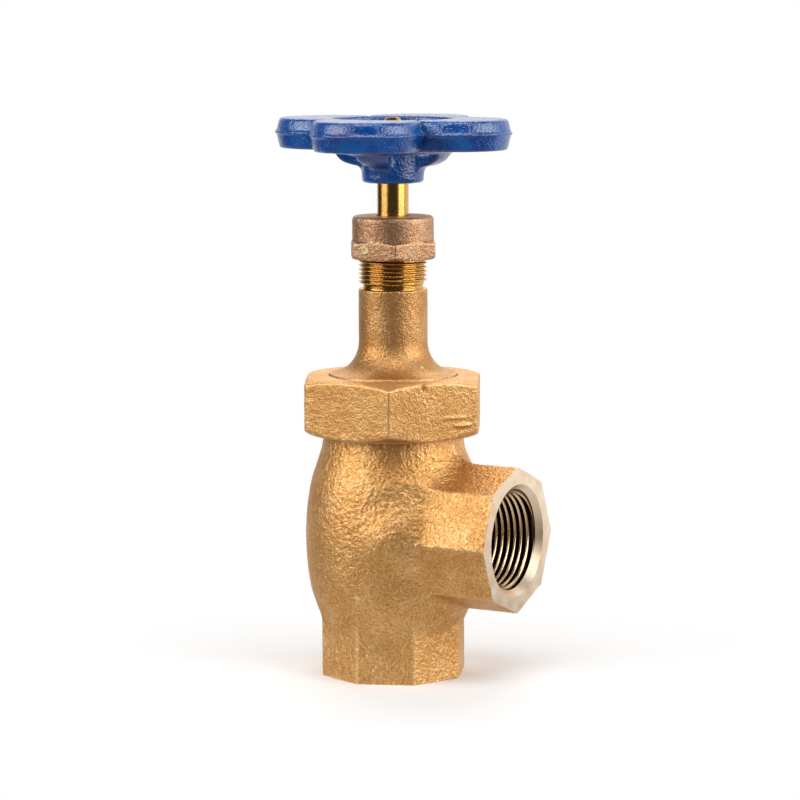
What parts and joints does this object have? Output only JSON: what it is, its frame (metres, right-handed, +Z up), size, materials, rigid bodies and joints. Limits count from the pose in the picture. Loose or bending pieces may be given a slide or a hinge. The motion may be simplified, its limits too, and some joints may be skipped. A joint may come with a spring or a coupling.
{
  "type": "angle globe valve",
  "caption": "Bronze angle globe valve with a union bonnet, threaded octagon ends, a rising stem and a lobed handwheel.",
  "frame": {"origin": "centre of the lower port's face, on the stem's axis", "axes": "+Z up the stem towards the handwheel, +X out through the side port"},
  "size_m": [0.0844, 0.0786, 0.1795],
  "materials": {
    "cast_bronze": "sand cast, blasted",
    "nut_bronze": "sand cast, darker",
    "turned_bronze": "turned",
    "blue_paint": "gloss paint on cast iron",
    "seat_plastic": "smooth",
    "packing": "matt, braided"
  },
  "bodies": {
    "housing": {"body": "cast_bronze", "bonnet": "cast_bronze", "union_nut": "cast_bronze", "packing_nut": "nut_bronze", "packing_gland": "turned_bronze", "packing_ring_1": "packing", "packing_ring_2": "packing", "packing_ring_3": "packing", "packing_ring_4": "packing", "packing_ring_5": "packing"},
    "disc_carrier": {"disc_holder": "turned_bronze", "disc_holder_nut": "turned_bronze", "seat_disc": "seat_plastic", "disc_washer": "turned_bronze", "disc_nut": "turned_bronze"},
    "spindle": {"stem": "turned_bronze", "handwheel": "blue_paint", "wheel_washer": "turned_bronze", "wheel_nut": "turned_bronze"}
  },
  "joints": [
    {"name": "disc_lift", "type": "slide", "parent": "housing", "child": "disc_carrier", "axis": [0, 0, 1], "range_m": [0, 0.00762]},
    {"name": "stem_turn", "type": "hinge", "parent": "disc_carrier", "child": "spindle", "pos_m": [0, 0, 0.1587], "axis": [0, 0, 1], "range_deg": [0, 1080]}
  ],
  "couplings": [
    {"joint": "disc_lift", "follows": "stem_turn", "m_per_rad": 0.00040425}
  ]
}
